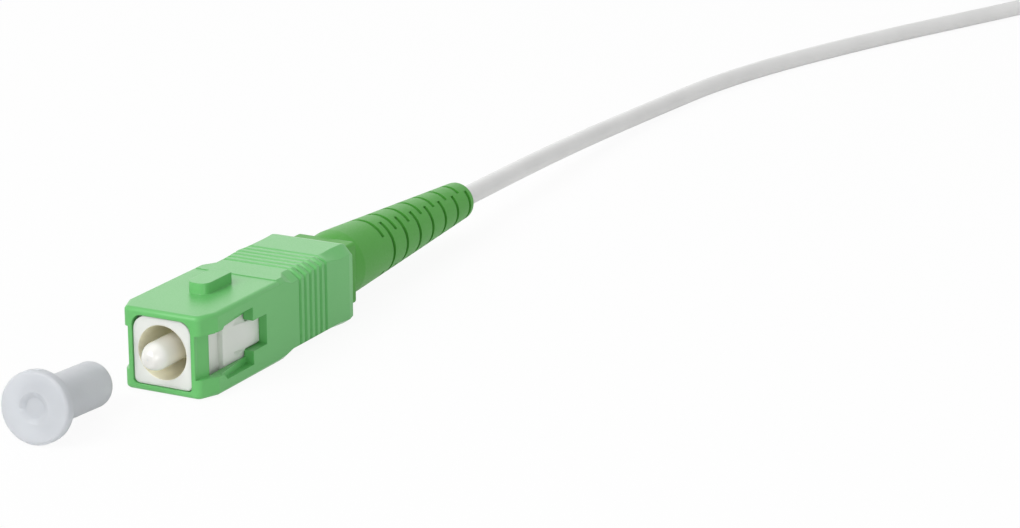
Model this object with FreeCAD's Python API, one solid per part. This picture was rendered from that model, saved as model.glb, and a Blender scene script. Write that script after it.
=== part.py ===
import FreeCAD, Part
import math
import os

# SC simplex fibre connector, angled polish, on a 2 mm cord. Millimetres.
# Origin: centre of the ferrule's end face. +Y runs back along the cord, the mating face
# looks along -Y, +Z is the key's side. The connector lies on its lower side.

# ---- driving dimensions ----
# Fibre, ferrule and its flange
fibre_radius = 0.0625
fibre_bore_clearance = 0.0025
ferrule_radius = 1.2495
ferrule_length = 10.5
ferrule_cone_length = 0.95
ferrule_tip_radius = 0.65
polish_angle = 8.0
polish_allowance = 0.3
ferrule_seat_depth = 2.25
ferrule_seat_radius = 0.95
flange_radius = 2.25
flange_thickness = 1.2
flange_slot_width = 0.5
flange_slot_depth = 0.35
flange_slots = 4
flange_tail_radius = 1.6
flange_tail_length = 2.75
guide_tube_radius = 0.8
guide_tube_bore = 0.5
guide_tube_length = 9.5
guide_tube_grip = 1.2

# Spring behind the flange
spring_wire_radius = 0.18
spring_wire_sides = 5
spring_mean_radius = 1.95
spring_turns = 4.5
spring_end_gap = 0.05

# Plug frame
frame_front = 2.25
frame_rear = 21.5
frame_half_width = 3.4
frame_half_height = 3.05
frame_nose_half_width = 2.9
frame_nose_length = 4.2
frame_nose_top_corner = 1.4
frame_nose_low_corner = 0.55
frame_body_chamfer = 0.55
frame_body_corner = 0.35
frame_bore_radius = 2.43
frame_bore_depth = 5.15
frame_stop_thickness = 0.8
frame_stop_hole_radius = 1.9
frame_cavity_radius = 2.45
shoulder_half_width = 3.72
shoulder_half_height = 1.2
shoulder_length = 3.7
shoulder_ramp_length = 1.5
shoulder_root = 0.3
catch_window_half_width = 0.9
catch_window_length = 1.4
catch_window_inset = 1.2

# Back post that closes the frame and carries the cord
seat_gap = 0.05
post_front_length = 3.7
post_fit_clearance = 0.05
post_bore_radius = 1.0
post_collar_radius = 2.9
post_collar_length = 1.0
post_stem_radius = 1.75
post_stem_length = 6.5
post_ring_depth = 0.12
post_ring_count = 3
post_ring_pitch = 1.8
catch_clearance = 0.1
catch_proud = 0.4
catch_root = 0.5
catch_land = 0.3

# Crimped end: yarn over the stem, ring over the yarn, boot over the ring
yarn_thickness = 0.2
crimp_clearance = 0.03
crimp_wall = 0.35
crimp_sleeve_length = 6.0
crimp_gap = 1.0
crimp_neck_length = 1.0
crimp_tail_length = 3.6
crimp_tail_wall = 0.45
crimp_jacket_clearance = 0.02
buffer_radius = 0.45
buffer_bore_radius = 0.1
buffer_front = 12.7
fibre_end_gap = 2.0
yarn_setback = 0.3
crimp_tail_blend = 0.4

# Boot
boot_front_gap = 0.7
boot_base_half_width = 3.1
boot_base_half_height = 2.95
boot_base_length = 6.6
boot_base_corner = 0.35
boot_root_radius = 3.35
boot_root_bevel = 0.6
boot_cone_length = 26.1
boot_tip_radius = 1.9
boot_tip_round = 0.45
boot_bore_clearance = 0.05
boot_cord_clearance = 0.15
boot_bore_step = 0.5
boot_slot_width = 0.55
boot_slot_floor = 0.35
boot_slot_pitch = 2.85
boot_side_slots = 7
boot_side_first = 7.8
boot_side_root_angle = 64.0
boot_side_tip_angle = 47.0
boot_top_slots = 7
boot_top_first = 6.4
boot_top_root_angle = 56.0
boot_top_tip_angle = 41.0

# Outer housing, which slides on the frame
housing_front = 2.1
housing_length = 24.9
housing_half_width = 4.5
housing_half_height = 3.7
housing_edge_round = 0.4
housing_step_offset = 12.0
housing_step_height = 0.06
housing_nose_half_width = 3.7
housing_nose_taper = 1.95
housing_nose_round = 0.6
housing_nose_steps = 3
housing_mouth_clearance = 0.05
housing_mouth_top_corner = 1.0
housing_mouth_low_corner = 0.4
housing_cavity_half_width = 3.5
housing_cavity_half_height = 3.15
housing_cavity_corner = 0.3
pillar_depth = 1.7
pillar_front_half_width = 3.35
pillar_rear_half_width = 3.68
pillar_half_height = 1.95
window_front_half_height = 2.0
window_wide_half_height = 2.6
window_wide_start = 3.3
window_shoulder_run = 0.6
window_length = 5.85
window_depth_past_mouth = 0.5
slot_half_height = 1.38
slot_length = 2.15
slot_stop_gap = 0.05
ramp_front_half_width = 4.15
ramp_rear_half_width = 3.65
key_half_width = 1.05
key_height = 1.0
key_offset = 5.6
key_length = 4.1
key_nose_radius = 0.8
key_root = 0.4
grip_offset = 13.0
grip_lead = 1.2
grip_front_cut_width = 1.15
grip_front_cut_height = 0.85
grip_waist_inset = 5.1
grip_waist_cut_width = 1.0
grip_waist_cut_height = 0.45
grip_flare_inset = 2.5
grip_flare_cut_width = 1.0
grip_flare_cut_height = 0.88
grip_rear_cut_width = 0.85
grip_rear_cut_height = 0.9
grip_bottom_cut_width = 1.0
grip_bottom_cut_height = 0.66
grip_bottom_rear_width = 0.6
grip_bottom_rear_height = 0.4
rim_inset = 0.75
rim_drop_width = 0.1
rim_drop_height = 0.2
groove_first_offset = 15.47
groove_pitch = 0.895
groove_count = 6
groove_width = 0.46
groove_floor = 0.16
groove_depth = 0.24

# Dust cap, lying beside the mating face
cap_flange_radius = 3.12
cap_flange_thickness = 1.1
cap_flange_round = 0.25
cap_barrel_radius = 2.01
cap_length = 10.1
cap_tip_round = 0.45
cap_bore_radius = 1.27
cap_bore_depth = 7.6
cap_dimple_radius = 1.2
cap_dimple_floor_radius = 0.9
cap_dimple_depth = 0.3
cap_x = -2.4
cap_y = -13.0
cap_heading = -6.5

# Cord and its put-away coil
cord_radius = 1.0
tie_thickness = 0.4
tie_width = 2.4
tie_clearance = 0.05
tie_angles = (75.0, -105.0)
tie_head_length = 3.2
tie_head_width = 3.4
tie_head_height = 1.6
coil_centre_x = 10.7
coil_centre_y = 205.0
coil_inner_radius = 8.0
coil_outer_radius = 16.0
coil_layers = 3
cord_end_angle = -26.0
cord_end_radius = 12.0
end_buffer_length = 9.0
end_yarn_length = 6.0
end_yarn_radius = 0.8

# How far cutters and joined pieces run past a face
overrun = 1.0

# ---- places that follow from the dimensions above ----
ferrule_seat_y = ferrule_length - ferrule_seat_depth
stop_wall_rear = frame_front + frame_bore_depth + frame_stop_thickness
flange_rear_y = ferrule_seat_y + flange_thickness
flange_tail_rear_y = flange_rear_y + flange_tail_length
guide_tube_y = flange_tail_rear_y - guide_tube_grip
post_front_y = frame_rear - post_front_length
post_collar_rear_y = frame_rear + post_collar_length
post_rear_y = post_collar_rear_y + post_stem_length
post_front_radius = frame_cavity_radius - post_fit_clearance
yarn_inner_radius = post_stem_radius + crimp_clearance
yarn_outer_radius = yarn_inner_radius + yarn_thickness
crimp_inner_radius = yarn_outer_radius + crimp_clearance
crimp_outer_radius = crimp_inner_radius + crimp_wall
crimp_front_y = post_collar_rear_y + crimp_gap
crimp_cone_y = crimp_front_y + crimp_sleeve_length
crimp_tail_y = crimp_cone_y + crimp_neck_length
crimp_rear_y = crimp_tail_y + crimp_tail_length
crimp_tail_bore = cord_radius + crimp_jacket_clearance
crimp_tail_radius = crimp_tail_bore + crimp_tail_wall
cord_front_y = crimp_tail_y
boot_front_y = post_collar_rear_y + boot_front_gap
boot_root_y = boot_front_y + boot_base_length
boot_rear_y = boot_root_y + boot_cone_length
boot_bore_radius = cord_radius + boot_cord_clearance
housing_rear = housing_front + housing_length
housing_tall = housing_half_height + housing_step_height
mouth_half_width = frame_nose_half_width + housing_mouth_clearance
mouth_half_height = frame_half_height + housing_mouth_clearance
window_rear = housing_front + pillar_depth + window_length
shoulder_rear = window_rear + slot_length
slot_rear = shoulder_rear + slot_stop_gap
floor_z = -housing_tall
coil_bottom = floor_z + tie_thickness
coil_top = coil_bottom + coil_layers * 2.0 * cord_radius
cord_floor_z = floor_z + cord_radius
coil_cord_z = coil_bottom + cord_radius

# The cord's route, one point for each turn of its path
cord_points = [
    (0.0, cord_front_y, 0.0),
    (0.0, 56.2, 0.0),
    (-2.0, 82.2, -1.35),
    (-2.8, 105.1, -2.6),
    (-1.0, 129.1, cord_floor_z),
    (6.8, 154.9, cord_floor_z),
    (15.4, 176.6, cord_floor_z),
    (21.8, 190.2, coil_cord_z),
    (23.8, 195.8, coil_cord_z),
    (25.2, 201.1, coil_cord_z),
]


def vec(x, y, z):
    return FreeCAD.Vector(x, y, z)


FORWARD = vec(0, 1, 0)
SAME = 1e-6


def block(x0, x1, y0, y1, z0, z1):
    return Part.makeBox(x1 - x0, y1 - y0, z1 - z0, vec(x0, y0, z0))


def rod(radius, y0, y1):
    return Part.makeCylinder(radius, y1 - y0, vec(0, y0, 0), FORWARD)


def turned(profile):
    """Solid turned about the Y axis from (radius, y) points."""
    points = [vec(radius, y, 0) for radius, y in profile]
    face = Part.Face(Part.makePolygon(points + points[:1]))
    return face.revolve(vec(0, 0, 0), FORWARD, 360)


def prism_xz(points, y0, y1):
    """Solid from (x, z) points, pushed from y0 to y1."""
    corners = [vec(x, y0, z) for x, z in points]
    return Part.Face(Part.makePolygon(corners + corners[:1])).extrude(vec(0, y1 - y0, 0))


def prism_xy(points, z0, z1):
    """Solid from (x, y) points, pushed from z0 to z1."""
    corners = [vec(x, y, z0) for x, y in points]
    return Part.Face(Part.makePolygon(corners + corners[:1])).extrude(vec(0, 0, z1 - z0))


def prism_yz(points, x0, x1):
    """Solid from (y, z) points, pushed from x0 to x1."""
    corners = [vec(x0, y, z) for y, z in points]
    return Part.Face(Part.makePolygon(corners + corners[:1])).extrude(vec(x1 - x0, 0, 0))


def round_along(solid, radius, direction, picked=lambda middle: True):
    """Round the straight edges that run along one axis and whose middle is picked."""
    edges = []
    for edge in solid.Edges:
        if not isinstance(edge.Curve, Part.Line):
            continue
        run = edge.valueAt(edge.LastParameter) - edge.valueAt(edge.FirstParameter)
        run.normalize()
        if abs(abs(run.dot(direction)) - 1) < SAME and picked(edge.CenterOfMass):
            edges.append(edge)
    return solid.makeFillet(radius, edges)


def rounded_block(half_x, half_z, top_corner, low_corner, y0, y1):
    solid = block(-half_x, half_x, y0, y1, -half_z, half_z)
    solid = round_along(solid, top_corner, FORWARD, lambda middle: middle.z > 0)
    return round_along(solid, low_corner, FORWARD, lambda middle: middle.z < 0)


def eight_sided(y, half_x, half_z, top_cut, bottom_cut):
    """Closed section across Y: a rectangle with its corners cut, each cut a (width, height)."""
    top_x, top_z = top_cut
    low_x, low_z = bottom_cut
    points = [
        vec(half_x, y, half_z - top_z),
        vec(half_x - top_x, y, half_z),
        vec(top_x - half_x, y, half_z),
        vec(-half_x, y, half_z - top_z),
        vec(-half_x, y, low_z - half_z),
        vec(low_x - half_x, y, -half_z),
        vec(half_x - low_x, y, -half_z),
        vec(half_x, y, low_z - half_z),
    ]
    return Part.makePolygon(points + points[:1])


def turned_corner(before, corner, after, radius, steps):
    """Points of a plan's corner, rounded in short straight steps."""
    middle = vec(*corner, 0)
    back = (vec(*before, 0) - middle).normalize()
    ahead = (vec(*after, 0) - middle).normalize()
    half = back.getAngle(ahead) / 2
    centre = middle + (back + ahead).normalize() * (radius / math.sin(half))
    first = middle + back * (radius / math.tan(half)) - centre
    last = middle + ahead * (radius / math.tan(half)) - centre
    points = []
    for number in range(steps + 1):
        share = number / steps
        arm = (first * (1 - share) + last * share).normalize() * radius
        points.append((centre.x + arm.x, centre.y + arm.y))
    return points


# ---- ferrule and what slides with it ----


def polished(solid):
    """Cut the angled end face through the origin."""
    size = 2 * ferrule_radius
    cutter = block(-size, size, -size, 0, -size, size)
    cutter.rotate(vec(0, 0, 0), vec(1, 0, 0), -polish_angle)
    return solid.cut(cutter)


def ferrule():
    lip = polish_allowance
    slope = (ferrule_radius - ferrule_tip_radius) / ferrule_cone_length
    body = turned([
        (0, -lip),
        (ferrule_tip_radius - lip * slope, -lip),
        (ferrule_radius, ferrule_cone_length),
        (ferrule_radius, ferrule_seat_y),
        (ferrule_seat_radius, ferrule_seat_y),
        (ferrule_seat_radius, ferrule_length),
        (0, ferrule_length),
    ])
    bore = rod(fibre_radius + fibre_bore_clearance, -lip - overrun, ferrule_length + overrun)
    return polished(body.cut(bore))


def optical_fibre():
    return polished(rod(fibre_radius, -polish_allowance, cord_front_y - fibre_end_gap))


def ferrule_flange():
    body = turned([
        (ferrule_seat_radius, ferrule_seat_y),
        (flange_radius, ferrule_seat_y),
        (flange_radius, flange_rear_y),
        (flange_tail_radius, flange_rear_y),
        (flange_tail_radius, flange_tail_rear_y),
        (guide_tube_radius, flange_tail_rear_y),
        (guide_tube_radius, guide_tube_y),
        (guide_tube_bore, guide_tube_y),
        (guide_tube_bore, ferrule_length),
        (ferrule_seat_radius, ferrule_length),
    ])
    half = flange_slot_width / 2
    for number in range(flange_slots):
        slot = block(
            flange_radius - flange_slot_depth, flange_radius + overrun,
            ferrule_seat_y - overrun, flange_rear_y + overrun, -half, half,
        )
        slot.rotate(vec(0, 0, 0), FORWARD, number * 360 / flange_slots)
        body = body.cut(slot)
    return body


def guide_tube():
    end = guide_tube_y + guide_tube_length
    return rod(guide_tube_radius, guide_tube_y, end).cut(rod(guide_tube_bore, guide_tube_y, end))


def spring():
    """Open coil spring between the flange and the back post, its round wire drawn with flat sides."""
    start = flange_rear_y + spring_end_gap + spring_wire_radius
    height = post_front_y - spring_end_gap - spring_wire_radius - start
    helix = Part.makeHelix(height / spring_turns, height, spring_mean_radius)
    corners = []
    for number in range(spring_wire_sides):
        turn = 2 * math.pi * number / spring_wire_sides
        out = spring_mean_radius + spring_wire_radius * math.cos(turn)
        corners.append(vec(out, 0, spring_wire_radius * math.sin(turn)))
    section = Part.makePolygon(corners + corners[:1])
    coil = Part.Wire(helix.Edges).makePipeShell([section], True, True)
    coil.rotate(vec(0, 0, 0), vec(1, 0, 0), -90)
    coil.translate(vec(0, start, 0))
    return coil


# ---- plug frame and back post ----


def plug_frame():
    nose_rear = frame_front + frame_nose_length
    tall = frame_half_height
    nose = rounded_block(
        frame_nose_half_width, tall, frame_nose_top_corner, frame_nose_low_corner,
        frame_front, nose_rear + overrun,
    )
    half = frame_half_width
    small = frame_body_chamfer
    body = prism_xz(
        [(-half, -tall), (half, -tall), (half, tall - small), (half - small, tall),
         (small - half, tall), (-half, tall - small)],
        nose_rear, frame_rear,
    )
    body = round_along(body, frame_body_corner, FORWARD, lambda middle: middle.z < 0)
    solid = nose.fuse(body)
    for side in (1, -1):
        solid = solid.fuse(shoulder(side))
    solid = solid.cut(rod(frame_bore_radius, frame_front - overrun, frame_front + frame_bore_depth))
    solid = solid.cut(rod(frame_stop_hole_radius, frame_front, stop_wall_rear + overrun))
    solid = solid.cut(rod(frame_cavity_radius, stop_wall_rear, frame_rear + overrun))
    start, end = catch_window_span()
    wide = catch_window_half_width
    solid = solid.cut(block(-wide, wide, start, end, -tall - overrun, tall + overrun))
    return solid.removeSplitter()


def shoulder(side):
    """Latch shoulder on one side of the frame, with a ramp at its front."""
    inside = side * (frame_half_width - shoulder_root)
    outside = side * shoulder_half_width
    front = shoulder_rear - shoulder_length
    points = [
        (inside, front),
        (side * frame_half_width, front),
        (outside, front + shoulder_ramp_length),
        (outside, shoulder_rear),
        (inside, shoulder_rear),
    ]
    return prism_xy(points, -shoulder_half_height, shoulder_half_height)


def catch_window_span():
    end = frame_rear - catch_window_inset
    return end - catch_window_length, end


def back_post():
    profile = [
        (post_bore_radius, post_front_y),
        (post_front_radius, post_front_y),
        (post_front_radius, frame_rear),
        (post_collar_radius, frame_rear),
        (post_collar_radius, post_collar_rear_y),
        (post_stem_radius, post_collar_rear_y),
    ]
    half_ring = post_ring_pitch / 4
    for number in range(post_ring_count):
        middle = crimp_front_y + (number + 0.5) * post_ring_pitch
        profile += [
            (post_stem_radius, middle - half_ring),
            (post_stem_radius - post_ring_depth, middle),
            (post_stem_radius, middle + half_ring),
        ]
    profile += [(post_stem_radius, post_rear_y), (post_bore_radius, post_rear_y)]
    solid = turned(profile)
    for side in (1, -1):
        solid = solid.fuse(catch(side))
    return solid.removeSplitter()


def catch(side):
    """Snap catch that sits in the frame's window."""
    start, end = catch_window_span()
    front = start + catch_clearance
    rear = end - catch_clearance
    root = side * (post_front_radius - catch_root)
    low = side * post_front_radius
    top = side * (post_front_radius + catch_proud)
    half = catch_window_half_width - catch_clearance
    return prism_yz([(front, root), (front, low), (rear - catch_land, top), (rear, top), (rear, root)], -half, half)


# ---- crimped end of the cord ----


def aramid_yarn():
    narrow = cord_radius - crimp_clearance
    inner = buffer_radius + crimp_clearance
    return turned([
        (yarn_inner_radius, crimp_front_y + yarn_setback),
        (yarn_outer_radius, crimp_front_y + yarn_setback),
        (yarn_outer_radius, crimp_cone_y),
        (narrow, crimp_tail_y),
        (inner, crimp_tail_y),
        (yarn_inner_radius, post_rear_y + seat_gap),
    ])


def crimp_ring():
    return turned([
        (crimp_inner_radius, crimp_front_y),
        (crimp_outer_radius, crimp_front_y),
        (crimp_outer_radius, crimp_cone_y),
        (crimp_tail_radius, crimp_tail_y + crimp_tail_blend),
        (crimp_tail_radius, crimp_rear_y),
        (crimp_tail_bore, crimp_rear_y),
        (crimp_tail_bore, crimp_tail_y),
        (crimp_inner_radius, crimp_cone_y),
    ])


def tight_buffer():
    return rod(buffer_radius, buffer_front, cord_front_y).cut(rod(buffer_bore_radius, buffer_front, cord_front_y))


def boot_outline(y):
    """Outer radius of the boot's cone at y."""
    share = (y - boot_root_y) / boot_cone_length
    return boot_root_radius + share * (boot_tip_radius - boot_root_radius)


def boot():
    base = rounded_block(
        boot_base_half_width, boot_base_half_height, boot_base_corner, boot_base_corner,
        boot_front_y, boot_root_y,
    )
    tip = boot_tip_round
    cone = turned([
        (0, boot_root_y - overrun),
        (boot_root_radius - boot_root_bevel, boot_root_y - overrun),
        (boot_root_radius, boot_root_y),
        (boot_outline(boot_rear_y - tip), boot_rear_y - tip),
        (boot_tip_radius - 0.3 * tip, boot_rear_y - 0.3 * tip),
        (boot_tip_radius - tip, boot_rear_y),
        (0, boot_rear_y),
    ])
    over_ring = crimp_outer_radius + boot_bore_clearance
    over_tail = crimp_tail_radius + boot_bore_clearance
    hollow = turned([
        (0, boot_front_y - overrun),
        (over_ring, boot_front_y - overrun),
        (over_ring, crimp_cone_y + boot_bore_step),
        (over_tail, crimp_tail_y + crimp_tail_blend + boot_bore_step),
        (over_tail, crimp_rear_y + boot_bore_step),
        (boot_bore_radius, crimp_rear_y + 2 * boot_bore_step),
        (boot_bore_radius, boot_rear_y + overrun),
        (0, boot_rear_y + overrun),
    ])
    solid = base.fuse(cone).cut(hollow)
    for number in range(boot_side_slots):
        y = boot_root_y + boot_side_first + number * boot_slot_pitch
        angle = slot_angle(number, boot_side_slots, boot_side_root_angle, boot_side_tip_angle)
        solid = solid.cut(slot_pair(y, angle, 0))
    for number in range(boot_top_slots):
        y = boot_root_y + boot_top_first + number * boot_slot_pitch
        angle = slot_angle(number, boot_top_slots, boot_top_root_angle, boot_top_tip_angle)
        solid = solid.cut(slot_pair(y, angle, 90))
    return solid


def slot_angle(number, count, root, tip):
    """Half the angle that a slot spans, which falls from the boot's root to its tip."""
    return root + (tip - root) * number / (count - 1)


def slot_pair(y, half_angle, turn):
    """Two facing arc slots across the boot, centred on +X and -X before the turn."""
    floor = boot_bore_radius + boot_slot_floor
    reach = 2 * boot_root_radius
    corners = [
        (floor, -half_angle), (reach, -half_angle), (reach, 0), (reach, half_angle),
        (floor, half_angle), (floor, half_angle / 3), (floor, -half_angle / 3),
    ]
    points = []
    for radius, angle in corners:
        points.append((radius * math.cos(math.radians(angle)), radius * math.sin(math.radians(angle))))
    near = prism_xz(points, y - boot_slot_width / 2, y + boot_slot_width / 2)
    far = near.copy()
    near.rotate(vec(0, 0, 0), FORWARD, turn)
    far.rotate(vec(0, 0, 0), FORWARD, turn + 180)
    return near.fuse(far)


# ---- outer housing ----


def outer_housing():
    solid = housing_front_block().fuse(grip()).fuse(key())
    solid = solid.cut(rounded_block(
        mouth_half_width, mouth_half_height, housing_mouth_top_corner, housing_mouth_low_corner,
        housing_front - overrun, housing_front + pillar_depth + overrun,
    ))
    solid = solid.cut(rounded_block(
        housing_cavity_half_width, housing_cavity_half_height,
        housing_cavity_corner, housing_cavity_corner,
        housing_front + pillar_depth, housing_rear + overrun,
    ))
    for side in (1, -1):
        solid = solid.cut(side_window(side))
        solid = solid.cut(pillar_relief(side))
    return solid.removeSplitter()


def housing_front_block():
    """Front of the housing: rounded along its edges and tapered in plan at the nose."""
    front = housing_front
    rear = housing_front + housing_step_offset
    nose = housing_nose_half_width
    wide = housing_half_width
    cheek = front + housing_nose_taper
    right = turned_corner((-nose, front), (nose, front), (wide, cheek), housing_nose_round, housing_nose_steps)
    left = [(-x, y) for x, y in reversed(right)]
    plan = prism_xy(
        right + [(wide, cheek), (wide, rear), (-wide, rear), (-wide, cheek)] + left,
        -housing_half_height, housing_half_height,
    )
    edges = []
    for edge in plan.Edges:
        middle = edge.CenterOfMass
        on_rear = abs(middle.y - rear) < SAME
        upright = abs(middle.z) < SAME
        if not on_rear and not upright:
            edges.append(edge)
    return plan.makeFillet(housing_edge_round, edges)


def grip():
    """Rear of the housing: cut corners, round-the-body grooves and a rolled-in rear rim."""
    stations = [
        (housing_step_offset, 0),
        (grip_offset, 0),
        (grip_offset + grip_lead, 0),
        (housing_length - grip_waist_inset, 0),
        (housing_length - grip_flare_inset, 0),
        (housing_length - rim_inset, 0),
    ]
    groove_zone = []
    for number in range(groove_count):
        middle = groove_first_offset + number * groove_pitch
        groove_zone += [
            (middle - groove_width / 2, 0),
            (middle - groove_floor / 2, groove_depth),
            (middle + groove_floor / 2, groove_depth),
            (middle + groove_width / 2, 0),
        ]
    first = groove_zone[0][0]
    last = groove_zone[-1][0]
    stations = [place for place in stations if not first <= place[0] <= last]
    sections = []
    for offset, depth in sorted(stations + groove_zone):
        sections.append(grip_section(offset, depth, depth))
    sections.append(grip_section(housing_length, rim_drop_width, rim_drop_height))
    return Part.makeLoft(sections, True, True)


def grip_section(offset, in_x, in_z):
    """Section of the grip at a distance from the housing's front, drawn in by in_x and in_z."""
    edge = housing_edge_round
    opened = grip_offset + grip_lead
    top_cut = cut_at(offset, [
        (grip_offset, edge, edge),
        (opened, grip_front_cut_width, grip_front_cut_height),
        (housing_length - grip_waist_inset, grip_waist_cut_width, grip_waist_cut_height),
        (housing_length - grip_flare_inset, grip_flare_cut_width, grip_flare_cut_height),
        (housing_length, grip_rear_cut_width, grip_rear_cut_height),
    ])
    bottom_cut = cut_at(offset, [
        (grip_offset, edge, edge),
        (opened, grip_bottom_cut_width, grip_bottom_cut_height),
        (housing_length - grip_flare_inset, grip_bottom_cut_width, grip_bottom_cut_height),
        (housing_length, grip_bottom_rear_width, grip_bottom_rear_height),
    ])
    return eight_sided(
        housing_front + offset, housing_half_width - in_x, housing_tall - in_z, top_cut, bottom_cut
    )


def cut_at(offset, knots):
    """Width and height of a cut corner at an offset, between (offset, width, height) knots."""
    if offset <= knots[0][0]:
        return knots[0][1:]
    for before, after in zip(knots, knots[1:]):
        if offset <= after[0]:
            break
    share = (offset - before[0]) / (after[0] - before[0])
    return (before[1] + share * (after[1] - before[1]), before[2] + share * (after[2] - before[2]))


def key():
    front = housing_front + key_offset
    solid = block(
        -key_half_width, key_half_width, front, front + key_length,
        housing_half_height - key_root, housing_half_height + key_height,
    )
    return round_along(solid, key_nose_radius, vec(0, 0, 1), lambda middle: middle.y < front + SAME)


def side_window(side):
    """T-shaped window through one side wall, with a release ramp above and below it."""
    front = housing_front + pillar_depth
    inner = side * (mouth_half_width - window_depth_past_mouth)
    outer = side * (housing_half_width + overrun)
    narrow = window_front_half_height
    wide = window_wide_half_height
    wide_y = housing_front + window_wide_start
    through = prism_yz(
        [(front, -narrow), (window_rear, -narrow), (window_rear, -slot_half_height),
         (slot_rear, -slot_half_height), (slot_rear, slot_half_height),
         (window_rear, slot_half_height), (window_rear, narrow), (front, narrow)],
        inner, outer,
    )
    recess = prism_xy(
        [(side * ramp_front_half_width, wide_y - window_shoulder_run),
         (side * ramp_front_half_width, wide_y),
         (side * ramp_rear_half_width, window_rear),
         (outer, window_rear), (outer, wide_y - window_shoulder_run)],
        -wide, wide,
    )
    outline = prism_yz(
        [(front - overrun, -narrow), (wide_y - window_shoulder_run, -narrow), (wide_y, -wide),
         (window_rear, -wide), (window_rear, wide), (wide_y, wide),
         (wide_y - window_shoulder_run, narrow), (front - overrun, narrow)],
        inner, outer,
    )
    return through.fuse(recess.common(outline))


def pillar_relief(side):
    """Set the front pillar back from the flanges above and below it."""
    front = housing_front
    points = [
        (side * pillar_front_half_width, front - overrun),
        (side * pillar_front_half_width, front + housing_edge_round),
        (side * pillar_rear_half_width, front + pillar_depth),
        (side * (housing_half_width + overrun), front + pillar_depth),
        (side * (housing_half_width + overrun), front - overrun),
    ]
    return prism_xy(points, -pillar_half_height, pillar_half_height)


# ---- dust cap ----


def dust_cap():
    flange = cap_flange_radius
    barrel = cap_barrel_radius
    edge = cap_flange_round
    tip = cap_tip_round
    solid = turned([
        (0, cap_dimple_depth),
        (cap_dimple_floor_radius, cap_dimple_depth),
        (cap_dimple_radius, 0),
        (flange - edge, 0),
        (flange, edge),
        (flange, cap_flange_thickness - edge),
        (flange - edge, cap_flange_thickness),
        (barrel, cap_flange_thickness),
        (barrel, cap_length - tip),
        (barrel - 0.3 * tip, cap_length - 0.3 * tip),
        (barrel - tip, cap_length),
        (cap_bore_radius, cap_length),
        (cap_bore_radius, cap_length - cap_bore_depth),
        (0, cap_length - cap_bore_depth),
    ])
    lean = math.atan((flange - barrel) / (cap_length - tip))
    solid.rotate(vec(0, 0, 0), vec(1, 0, 0), -math.degrees(lean))
    solid.rotate(vec(0, 0, 0), vec(0, 0, 1), -cap_heading)
    solid.translate(vec(cap_x, cap_y, floor_z - solid.BoundBox.ZMin))
    return solid


# ---- cord, coil and cut end ----


def run_path(points):
    """Straight runs joined by tangent arcs, each as large as its two runs allow."""
    edges = []
    radii = []
    start = points[0]
    for before, corner, after in zip(points, points[1:], points[2:]):
        back = before - corner
        ahead = after - corner
        shorter = min(back.Length, ahead.Length)
        back.normalize()
        ahead.normalize()
        half_turn = (math.pi - back.getAngle(ahead)) / 2
        reach = 0.45 * shorter
        radius = reach / math.tan(half_turn)
        radii.append(round(radius, 1))
        arc_start = corner + back * reach
        arc_end = corner + ahead * reach
        middle = back + ahead
        middle.normalize()
        crown = corner + middle * (radius / math.cos(half_turn) - radius)
        edges.append(Part.LineSegment(start, arc_start).toShape())
        edges.append(Part.Arc(arc_start, crown, arc_end).toShape())
        start = arc_end
    edges.append(Part.LineSegment(start, points[-1]).toShape())
    return Part.Wire(edges), radii


def tube_along(name, points, radius):
    path, radii = run_path(points)
    heading = points[1] - points[0]
    section = Part.Wire([Part.Circle(points[0], heading, radius).toShape()])
    solid = path.makePipeShell([section], True, True)
    expected = math.pi * radius ** 2 * path.Length
    print(name, "length", round(path.Length, 1), "radii", radii,
          "volume against section times length", round(solid.Volume / expected, 4))
    return solid


def cord():
    return tube_along("cord", [vec(*point) for point in cord_points], cord_radius)


def lay_on_coil(solid):
    """Put a piece made along +Y from the origin at the cord's cut end, on top of the coil."""
    solid.translate(vec(cord_end_radius, 0, coil_top + cord_radius))
    solid.rotate(vec(0, 0, 0), vec(0, 0, 1), cord_end_angle)
    solid.translate(vec(coil_centre_x, coil_centre_y, 0))
    return solid


def end_buffer():
    return lay_on_coil(rod(buffer_radius, 0, end_buffer_length))


def end_yarn():
    hole = rod(buffer_radius + crimp_clearance, 0, end_yarn_length)
    return lay_on_coil(rod(end_yarn_radius, 0, end_yarn_length).cut(hole))


def cord_coil():
    height = coil_top - coil_bottom
    centre = vec(coil_centre_x, coil_centre_y, coil_bottom)
    outer = Part.makeCylinder(coil_outer_radius, height, centre)
    return outer.cut(Part.makeCylinder(coil_inner_radius, height, centre))


def coil_tie(angle):
    """Flat band round the coil's turns, with its locking head on top."""
    thick = tie_thickness
    half = tie_width / 2
    inner = math.sqrt(coil_inner_radius ** 2 - half ** 2) - tie_clearance
    outer = coil_outer_radius + tie_clearance
    top = coil_top + tie_clearance
    band = block(inner - thick, outer + thick, -half, half, floor_z, top + thick)
    band = round_along(band, 2 * thick, FORWARD)
    band = band.cut(block(inner, outer, -half, half, coil_bottom, top))
    middle = (inner + outer) / 2
    head = block(
        middle - tie_head_length / 2, middle + tie_head_length / 2,
        -tie_head_width / 2, tie_head_width / 2, top + thick / 2, top + tie_head_height,
    )
    tie = band.fuse(head)
    tie.rotate(vec(0, 0, 0), vec(0, 0, 1), angle)
    tie.translate(vec(coil_centre_x, coil_centre_y, 0))
    return tie


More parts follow.
